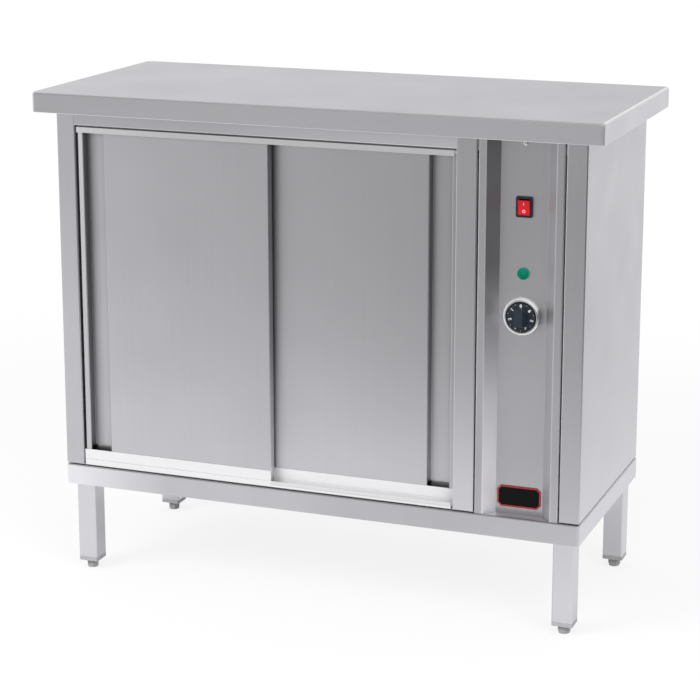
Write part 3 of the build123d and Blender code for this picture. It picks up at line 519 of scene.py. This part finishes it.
def spangled(name, tone):
    """Galvanised sheet with its crystal pattern."""
    finish = Finish(name, {"Metallic": 1.0})
    cells = crystals(finish, size=0.006, output="Color")
    value = finish.add("ShaderNodeSeparateColor", {"Color": cells}).outputs["Red"]
    dark = shade(tone, 0.86)
    light = shade(tone, 1.12)
    finish.tones(value, (0.0, dark), (1.0, light))
    finish.roughen(value, middle=0.42, swing=0.08)
    finish.bump(value, depth=0.00003, strength=0.4)
    return finish.material


def heated(name, dark, tint):
    """Heater sheath, patchily darkened and tinted by heat."""
    finish = Finish(name, {"Metallic": 1.0})
    patches = finish.cloud(size=0.03, detail=4.0)
    finish.tones(patches, (0.35, dark), (0.65, tint))
    finish.roughen(patches, middle=0.5, swing=0.1)
    finish.bump(finish.cloud(size=0.0008), depth=0.00003, strength=0.6)
    return finish.material


def fibrous(name, dark, light):
    """Pressed mineral fibres."""
    finish = Finish(name)
    fibres = finish.noise(size=(0.012, 0.0012, 0.0012), detail=5.0)
    finish.tones(fibres, (noise_low, dark), (noise_high, light))
    finish.roughen(fibres, middle=0.92, swing=0.07)
    finish.bump(fibres, depth=0.0008, strength=0.8)
    return finish.material


def polished(name, tone, roughness, rubbed=None):
    """Plated metal with fine hairline scratches."""
    finish = Finish(name, {"Metallic": 1.0})
    smear = finish.cloud(size=0.01)
    # Optional factor of painted shade
    factor = rubbed(finish, 1.0) if rubbed else None
    dull = shade(tone, 0.96)
    clean = shade(tone, 1.03)
    finish.tones(smear, (noise_low, dull), (noise_high, clean), factor=factor)
    finish.roughen(smear, roughness, swing=0.03)
    scratches = finish.noise(size=(0.0002, 0.004, 0.0002), detail=2.0)
    finish.bump(scratches, depth=0.000005, strength=0.3)
    return finish.material


def lens(name, color, deep):
    """Coloured lens with a fine pattern behind its dome."""
    finish = Finish(name, {"Specular IOR Level": 0.12})
    facets = crystals(finish, size=0.0022, output="Distance", distance="MANHATTAN")
    finish.tones(facets, (0.1, color), (0.9, deep))
    finish.roughen(facets, middle=0.3, swing=0.05)
    finish.bump(facets, depth=0.0001, strength=0.2)
    return finish.material


def foot_share(finish):
    """0 at the height of the controls and 1 toward the foot of the body."""
    return finish.zone("Z", foot_start, foot_end)


def inside_pull(finish, front):
    """0 at the front of a door and 1 inside its finger pull."""
    return finish.near("Y", front, start=pull_mouth, end=pull_deep)


def left_door_wear(finish, tone):
    """Painted highlight on the pull's edge toward the top, painted shade in its deep corner, and low down a
    darker floor and painted light on the return.
    """
    low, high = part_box("left_door_skin")
    edge = low.x + pull_edge
    foot = foot_share(finish)
    upper = finish.zone("Z", start=low.z + pull_highlight_foot, end=high.z)
    flange = finish.near("X", edge, start=0.0, end=-band_border)
    beyond_edge = finish.near("X", edge, start=0.0, end=band_border)
    corner = finish.both(finish.near("X", edge, start=pull_corner, end=0.0), beyond_edge)
    floor = finish.band("X", edge + 2 * pull_run, edge + pull_width - pull_run)
    returned = finish.near("X", high.x, start=-0.0010, end=-0.0004)
    return finish.both(
        tone,
        finish.gain(flange, upper, factor=1.45),
        finish.gain(corner, inside_pull(finish, low.y), factor=0.55),
        finish.gain(floor, foot, factor=0.88),
        finish.gain(returned, foot, factor=1.25),
    )


def right_door_wear(finish, tone):
    """Painted corner shade weaker and painted light on the front toward the foot, and painted shade on the
    deep wall of the pull.
    """
    low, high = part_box("right_door_skin")
    foot = foot_share(finish)
    bend = high.x - pull_edge - pull_width
    wall = finish.band("X", bend, bend + pull_run)
    front = finish.near("X", bend, start=0.0, end=-band_border)
    wall_tone = finish.fade(foot, start=0.6, end=0.85)
    return finish.both(
        finish.math("POWER", tone, finish.fade(foot, start=1.0, end=0.4)),
        finish.gain(wall, inside_pull(finish, low.y), factor=wall_tone),
        finish.gain(front, foot, factor=1.08),
    )


def worktop_wear(finish, tone):
    """Painted highlights on the bends, painted light on the right face, and a front painted lighter toward
    the right.
    """
    bend_highlight = 1.42
    low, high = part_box("worktop")
    column_low, column_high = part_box("control_panel")
    top = finish.near("Z", high.z, start=-0.0032, end=-0.0016)
    hem = finish.near("Z", low.z, start=0.0014, end=0.0006)
    front = finish.near("Y", low.y, start=0.0032, end=0.0016)
    right = finish.near("X", high.x, start=-0.0052, end=-0.0036)
    outer = finish.math("MAXIMUM", front, right)
    over_column = finish.gain(finish.band("X", column_low.x, column_high.x), factor=1.2)
    hem_run = finish.zone("X", start=low.x + 0.1, end=high.x - 0.4)
    hem_tone = finish.both(finish.fade(hem_run, start=1.32, end=1.14), over_column)
    painted_gradient = finish.fade(finish.zone("X", low.x, high.x), start=0.775, end=1.07)
    rubbed = finish.both(
        finish.gain(top, outer, factor=bend_highlight),
        finish.gain(hem, outer, factor=hem_tone),
        finish.gain(finish.near("X", high.x, start=-0.001, end=0.0), factor=1.23),
        finish.gain(finish.near("Y", low.y, start=0.001, end=0.0), factor=painted_gradient),
    )
    return finish.both(tone, finish.math("MINIMUM", rubbed, bend_highlight))


def worktop_polish(finish):
    """Right bend polished smooth."""
    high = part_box("worktop")[1]
    top = finish.near("Z", high.z, start=-0.0026, end=-0.0018)
    right = finish.near("X", high.x, start=-0.0040, end=-0.0030)
    return finish.gain(top, right, factor=0.67)


def base_wear(finish, tone):
    """Painted highlight on the front left corner, and painted light on the ledge and on the right side,
    which are brighter than the front.
    """
    low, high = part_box("base_tray")
    corner = finish.near("X", low.x, start=0.20, end=0.02)
    front = finish.near("Y", low.y, start=0.004, end=0.001)
    behind = finish.near("Y", low.y, start=0.003, end=0.006)
    ledge = finish.near("Z", high.z, start=-0.001, end=0.0)
    side = finish.near("X", high.x, start=-0.002, end=-0.001)
    return finish.both(
        tone,
        finish.gain(corner, front, factor=1.45),
        finish.gain(ledge, behind, factor=1.4),
        finish.gain(side, factor=1.12),
    )


def panel_wear(finish, tone):
    """Painted highlights on the bends, painted shade on the left wall beside the controls and painted light
    toward its foot, and painted shade on the right wall and the low flats.
    """
    low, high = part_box("control_panel")
    left_bend = low.x + panel_flange
    right_bend = high.x - panel_flange
    left_wall = finish.band("X", left_bend, left_bend + panel_run)
    right_wall = finish.band("X", right_bend - panel_run, right_bend)
    left_foot = finish.zone("Z", wall_shade_height, wall_bright_height)
    left_tone = finish.fade(left_foot, start=0.64, end=1.5)
    flats = finish.math("SUBTRACT", 1.0, finish.math("MAXIMUM", left_wall, right_wall))
    lower = finish.zone("Z", flats_shade_start, flats_shade_end)
    # Painted highlights along the four bends
    for bend in (low.x + panel_line, left_bend, right_bend + panel_line, high.x):
        tone = finish.both(tone, finish.gain(finish.band("X", bend - panel_line, bend), factor=1.2))
    return finish.both(
        tone,
        finish.gain(left_wall, factor=left_tone),
        finish.gain(right_wall, factor=0.87),
        finish.gain(flats, lower, factor=0.88),
    )


def track_wear(finish, tone):
    """Painted light at the left end, painted shade further on and painted light again to the right, and a
    painted shadow in the groove at the top.
    """
    low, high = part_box("upper_track")
    groove = finish.near("Z", high.z, start=-0.0027, end=-0.0021)
    shaded_run = finish.near("X", low.x, start=0.0, end=0.18)
    lit_run = finish.zone("X", start=low.x + 0.2, end=high.x)
    return finish.both(
        tone,
        finish.gain(groove, factor=0.3),
        finish.gain(shaded_run, factor=0.87),
        finish.gain(lit_run, factor=1.2),
    )


def sill_wear(finish, tone):
    """Painted shade on the upper part of the front rib, down to a painted dark line, to the right of the
    left door.
    """
    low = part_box("sill_track")[0]
    door_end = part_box("left_door_skin")[1].x
    line_foot = low.z + 0.0038
    shade_foot = low.z + 0.0048
    passed = finish.near("X", door_end, start=0.0, end=band_border)
    front = finish.near("Y", low.y, start=0.0006, end=0.0002)
    upper = finish.near("Z", shade_foot, start=-band_border, end=0.0)
    line = finish.band("Z", line_foot, shade_foot)
    return finish.both(
        tone,
        finish.gain(passed, front, upper, factor=0.88),
        finish.gain(passed, front, line, factor=0.8),
    )


def header_wear(finish, tone):
    """Painted highlight on the lower bend, and a front painted lighter toward the right."""
    low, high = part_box("header_rail")
    painted_gradient = finish.fade(finish.zone("X", start=low.x + 0.22, end=high.x), start=0.96, end=1.35)
    bend = finish.near("Z", low.z, start=0.0022, end=0.0010)
    return finish.both(tone, painted_gradient, finish.gain(bend, factor=1.2))


def ring_wear(finish, tone):
    """Satin flank behind a polished front, with painted shade on its right."""
    low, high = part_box("dial_bezel")
    middle = (low.x + high.x) / 2
    rim = (high.x - low.x) / 2
    flank = finish.near("Y", low.y, start=0.0002, end=0.0008)
    right = finish.near("X", middle, start=0.86 * rim, end=0.94 * rim)
    finish.set("Metallic", finish.gain(flank, factor=0.4))
    return finish.both(tone, finish.gain(flank, right, factor=0.3))


def knob_wear(finish, tone):
    """Painted shade as a black rim round the skirt."""
    low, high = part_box("thermostat_knob")
    rim = (high.x - low.x) / 2
    black_start = rim - 0.0020
    black_end = rim - 0.0012
    outer = finish.spread(finish.radius((low + high) / 2), black_start, black_end, 0.0, 1.0)
    return finish.both(tone, finish.gain(outer, factor=0.25))


def stile(node, tone, foot_light_factor):
    """Brushed upright sheet whose front is painted lighter or darker toward its foot, as painted light and
    shade.
    """

    def foot_wear(finish, share):
        front = finish.near("Y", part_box(node)[0].y, start=0.003, end=0.001)
        return finish.both(share, finish.gain(front, foot_share(finish), factor=foot_light_factor))

    return brushed(f"steel_{node}", tone, "z", rubbed=foot_wear)


def bright_strip(name, tone, **settings):
    """Bright drawn strip of the door tracks and rails."""
    return brushed(name, tone, "x", contrast=0.015, edge_wear_and_highlight=0.05, **settings)


make_camera()
make_world()
make_floor()
make_lamp("key", key_place, key_power)
make_lamp("fill", fill_place, fill_power)

# Finishes of the record's material slots, then of the nodes that differ from their slot.
# Their tone factors make lighter and darker copies of one steel and one bright strip, one per piece, as
# painted light and shade, and their corner factors set the painted shade in corners.
finishes = {
    "steel_worktop": brushed(
        "steel_worktop", shade(steel, 1.18), "x", roughness=0.42, rubbed=worktop_wear, polish=worktop_polish
    ),
    "steel_body": brushed("steel_header", steel, "x", edge_wear_and_highlight=0.02, rubbed=header_wear),
    "steel_side": stile("right_side_panel", shade(steel, 1.14), foot_light_factor=0.85),
    "steel_control": brushed("steel_control", shade(steel, 1.06), "z", roughness=0.44, rubbed=panel_wear),
    "steel_base": brushed("steel_base", shade(steel, 1.07), "x", rubbed=base_wear),
    "steel_door": brushed("steel_door", steel, "z", corner=0.45, rubbed=right_door_wear),
    "steel_leg": brushed("steel_leg", shade(steel, 1.14), "z"),
    "steel_back": brushed("steel_back", steel, "x"),
    "steel_liner": brushed("steel_liner", shade(steel, 0.95), "x", roughness=0.28),
    "bright_rail": bright_strip("bright_rail", bright, metallic=0.3, corner=0.8),
    "bright_track": bright_strip("bright_track", bright, metallic=0.3, corner=0.62, rubbed=sill_wear),
    "zinc_steel": spangled("zinc_steel", (0.56, 0.57, 0.59)),
    "screw_steel": polished("screw_steel", (0.95, 0.945, 0.94), roughness=0.12),
    "element_sheath": heated("element_sheath", dark=(0.06, 0.055, 0.05), tint=(0.16, 0.13, 0.115)),
    "mineral_wool": fibrous("mineral_wool", dark=(0.36, 0.31, 0.19), light=(0.62, 0.56, 0.38)),
    "seal_rubber": moulded("seal_rubber", (0.03, 0.03, 0.03), roughness=0.7),
    "nylon": moulded("nylon", (0.72, 0.71, 0.66), roughness=0.45),
    "switch_plastic": moulded("switch_plastic", (0.013, 0.022, 0.034), roughness=0.38),
    "rocker_red": moulded("rocker_red", (0.70, 0.012, 0.020), roughness=0.30, variation=0.06),
    "lamp_rim": moulded("lamp_rim", (0.003, 0.22, 0.14), roughness=0.35),
    "lens_green": lens("lens_green", color=(0.002, 0.25, 0.155), deep=(0.001, 0.17, 0.105)),
    "chrome_ring": polished("chrome_ring", (0.95, 0.945, 0.94), roughness=0.08, rubbed=ring_wear),
    "knob_plastic": moulded("knob_plastic", (0.022, 0.031, 0.043), roughness=0.36, rubbed=knob_wear),
    "housing_plastic": moulded("housing_plastic", (0.03, 0.03, 0.032), roughness=0.5),
    "copper": polished("copper", (0.78, 0.42, 0.27), roughness=0.25),
    "plate_black": moulded("plate_black", (0.004, 0.0045, 0.0045), roughness=0.35, specular=0.10),
    "terminal_plastic": moulded("terminal_plastic", (0.70, 0.69, 0.64), roughness=0.45),
    "gland_plastic": moulded("gland_plastic", (0.02, 0.02, 0.021), roughness=0.45),
    "cap_plastic": moulded("cap_plastic", (0.52, 0.52, 0.535), roughness=0.45),
    "foot_plastic": moulded("foot_plastic", (0.50, 0.50, 0.52), roughness=0.45),
}
special = {
    "upper_track": bright_strip("bright_upper_track", shade(bright, 0.88), rubbed=track_wear),
    "left_door_skin": brushed("steel_left_door", steel, "z", corner=0.5, rubbed=left_door_wear),
    "left_side_panel": stile("left_side_panel", shade(steel, 1.05), foot_light_factor=0.90),
    "center_stile": stile("center_stile", shade(steel, 1.06), foot_light_factor=1.13),
}

# Print and trim of the small marks, and painted shade for the screw recesses
mark_white = moulded("mark_white", (0.86, 0.86, 0.84), roughness=0.5)
mark_pink = moulded("mark_pink", (0.86, 0.50, 0.48), roughness=0.5)
rim_red = moulded("rim_red", (0.38, 0.035, 0.040), roughness=0.35)
painted_recess_shade = moulded("painted_recess_shade", (0.40, 0.40, 0.40), roughness=0.6)

for part in frame["record"]["subparts"]:
    surface = frame["nodes"][part["node"]]
    material = special.get(part["node"], finishes[part["material_slot"]])
    for slot in surface.material_slots:
        slot.material = material


def add_piece(name, shape, body, material):
    """Make a piece of a bmesh, finish it and let it ride on a body."""
    mesh = bpy.data.meshes.new(name)
    bmesh.ops.recalc_face_normals(shape, faces=shape.faces)
    shape.to_mesh(mesh)
    shape.free()
    mesh.materials.append(material)
    piece = bpy.data.objects.new(name, mesh)
    scene.collection.objects.link(piece)
    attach(piece, body)


def merge(target, source):
    """Move the faces of one bmesh into another."""
    mesh = bpy.data.meshes.new("moved")
    source.to_mesh(mesh)
    source.free()
    target.from_mesh(mesh)
    bpy.data.meshes.remove(mesh)


def box_of(points):
    """Lowest and highest corner round some points."""
    low = Vector([min(p[i] for p in points) for i in range(3)])
    high = Vector([max(p[i] for p in points) for i in range(3)])
    return low, high


def front_of(node, x, z):
    """Point and outward direction where a line from the front meets a node."""
    start = Vector((x, cad_low.y - sight_distance, z))
    hit, place, normal, _ = frame["nodes"][node].ray_cast(start, Vector((0, 1, 0)))
    if not hit:
        raise ValueError(f"nothing of {node} at {x}, {z}")
    return place, normal


def seat(shape, place, normal, turn=0.0):
    """Lay a mark on a face, with its Z along the normal and its Y up the face, turned about the normal."""
    z = normal.normalized()
    y = (Vector((0, 0, 1)) - z * z.z).normalized()
    x = y.cross(z)
    matrix = Matrix((x, y, z)).transposed().to_4x4()
    matrix.translation = place
    bmesh.ops.transform(shape, matrix=matrix @ Matrix.Rotation(turn, 4, "Z"), verts=shape.verts)


def flat_mark(outline, hole=None):
    """Thin plate with an outline of (x, y) points, and a hole with as many points."""
    shape = bmesh.new()
    rings = [outline, hole] if hole else [outline]
    layers = []
    for height in (-mark_sunk, mark_proud):
        layers.append([[shape.verts.new((x, y, height)) for x, y in ring] for ring in rings])
    count = len(outline)
    pairs = [(i, (i + 1) % count) for i in range(count)]
    for low, high in zip(*layers):
        for i, j in pairs:
            shape.faces.new((low[i], low[j], high[j], high[i]))
    for layer in layers:
        if hole:
            for i, j in pairs:
                shape.faces.new((layer[0][i], layer[0][j], layer[1][j], layer[1][i]))
        else:
            shape.faces.new(layer[0])
    return shape


def cut_rectangle(width, height, cut):
    """Rectangle with its corners cut off."""
    x, y = width / 2, height / 2
    right = [(x, cut - y), (x, y - cut), (x - cut, y)]
    left = [(cut - x, y), (-x, y - cut), (-x, cut - y)]
    return [(x - cut, -y), *right, *left, (cut - x, -y)]


def ellipse(width, height):
    turn = 2 * math.pi / mark_steps
    return [(width / 2 * math.cos(i * turn), height / 2 * math.sin(i * turn)) for i in range(mark_steps)]


def cross(length, width):
    a, b = length / 2, width / 2
    quarter = [(a, b), (b, b), (b, a)]
    points = []
    for turn in range(4):
        for x, y in quarter:
            for _ in range(turn):
                x, y = -y, x
            points.append((x, y))
    return points


def numeral(text):
    """Thin solid of one numeral about its own middle."""
    data = bpy.data.curves.new("numeral", "FONT")
    data.body = text
    data.size = numeral_font_size
    data.offset = numeral_weight
    data.resolution_u = numeral_steps
    data.extrude = (mark_proud + mark_sunk) / 2
    writing = bpy.data.objects.new("numeral", data)
    scene.collection.objects.link(writing)
    bpy.context.view_layer.update()
    mesh = bpy.data.meshes.new_from_object(writing)
    shape = bmesh.new()
    shape.from_mesh(mesh)
    bpy.data.objects.remove(writing)
    bpy.data.meshes.remove(mesh)
    bmesh.ops.remove_doubles(shape, verts=shape.verts, dist=same_point)
    low, high = box_of([vert.co for vert in shape.verts])
    middle = (low + high) / 2
    middle.z = high.z - mark_proud
    bmesh.ops.translate(shape, verts=shape.verts, vec=-middle)
    return shape


def dial_marks():
    """Numerals round the skirt of the knob, with a tick between each two."""
    low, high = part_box("thermostat_knob")
    middle = (low + high) / 2

    def seat_on_dial(shape, radius, turn):
        x = middle.x - radius * math.sin(turn)
        z = middle.z + radius * math.cos(turn)
        place, normal = front_of("thermostat_knob", x, z)
        seat(shape, place, normal, turn)

    ticks = bmesh.new()
    step = 2 * math.pi / numeral_count
    for i in range(numeral_count):
        digit = numeral(str(i))
        seat_on_dial(digit, numeral_radius, i * step)
        add_piece(f"dial_numeral_{i}", digit, "knob", mark_white)
        tick = flat_mark(cut_rectangle(tick_width, tick_length, tick_cut))
        seat_on_dial(tick, tick_radius, (i + 0.5) * step)
        merge(ticks, tick)
    add_piece("dial_ticks", ticks, "knob", mark_white)


def rocker_marks():
    """The line and ring of the on and off halves."""
    low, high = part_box("switch_rocker")
    middle = (low + high) / 2
    quarter = (high.z - low.z) / 4
    size = rocker_mark_height
    inside = size - 2 * rocker_mark_stroke
    marks = {
        "rocker_on_mark": (quarter, flat_mark(ellipse(rocker_line_width, size))),
        "rocker_off_mark": (-quarter, flat_mark(ellipse(size, size), ellipse(inside, inside))),
    }
    for name, (rise, shape) in marks.items():
        place, normal = front_of("switch_rocker", middle.x, middle.z + rise)
        seat(shape, place, normal)
        add_piece(name, shape, "rocker", mark_pink)


def nameplate_rim():
    """Red border round the bare plate."""
    low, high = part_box("nameplate")
    middle = (low + high) / 2
    width = high.x - low.x - 2 * rim_inset
    height = high.z - low.z - 2 * rim_inset
    inner_cut = rim_cut - rim_width * (2 - math.sqrt(2))
    outer = cut_rectangle(width, height, rim_cut)
    inner = cut_rectangle(width - 2 * rim_width, height - 2 * rim_width, inner_cut)
    shape = flat_mark(outer, inner)
    seat(shape, Vector((middle.x, low.y, middle.z)), Vector((0, -1, 0)))
    add_piece("nameplate_rim", shape, "cabinet", rim_red)


def screw_islands():
    """Lowest and highest corner of each separate screw."""
    shape = bmesh.new()
    shape.from_mesh(frame["nodes"]["panel_screws"].data)
    bmesh.ops.remove_doubles(shape, verts=shape.verts, dist=same_point)
    left = set(shape.verts)
    islands = []
    while left:
        waiting = [left.pop()]
        found = []
        while waiting:
            vert = waiting.pop()
            found.append(vert.co.copy())
            linked = {edge.other_vert(vert) for edge in vert.link_edges} & left
            left -= linked
            waiting.extend(linked)
        islands.append(box_of(found))
    shape.free()
    return sorted(islands, key=lambda ends: tuple(ends[0]))


def screw_crosses():
    """Dark cross on each screw head, painted as the shade of its recess."""
    crosses = bmesh.new()
    for low, high in screw_islands():
        middle = (low + high) / 2
        outward = 1.0 if middle.y > 0 else -1.0
        crown = Vector((middle.x, high.y if outward > 0 else low.y, middle.z))
        shape = flat_mark(cross(cross_length, cross_width))
        seat(shape, crown, Vector((0, outward, 0)), cross_turn)
        merge(crosses, shape)
    add_piece("screw_crosses", crosses, "cabinet", painted_recess_shade)


def header_welds():
    """Dressed welds that fill the bends between the header and the stiles beside it."""
    low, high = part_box("header_rail")
    welds = bmesh.new()
    for seam, outward in ((low.x, -1.0), (high.x, 1.0)):
        reach = seam + outward * weld_reach
        face = low.y + weld_depth
        section = [(seam, face), (reach, face), (seam, face + weld_reach)]
        ends = [[welds.verts.new((x, y, z)) for x, y in section] for z in (low.z, high.z)]
        for end in ends:
            welds.faces.new(end)
        for i in range(3):
            j = (i + 1) % 3
            welds.faces.new((ends[0][i], ends[0][j], ends[1][j], ends[1][i]))
    add_piece("header_welds", welds, "cabinet", finishes["steel_body"])


dial_marks()
rocker_marks()
header_welds()
nameplate_rim()
screw_crosses()
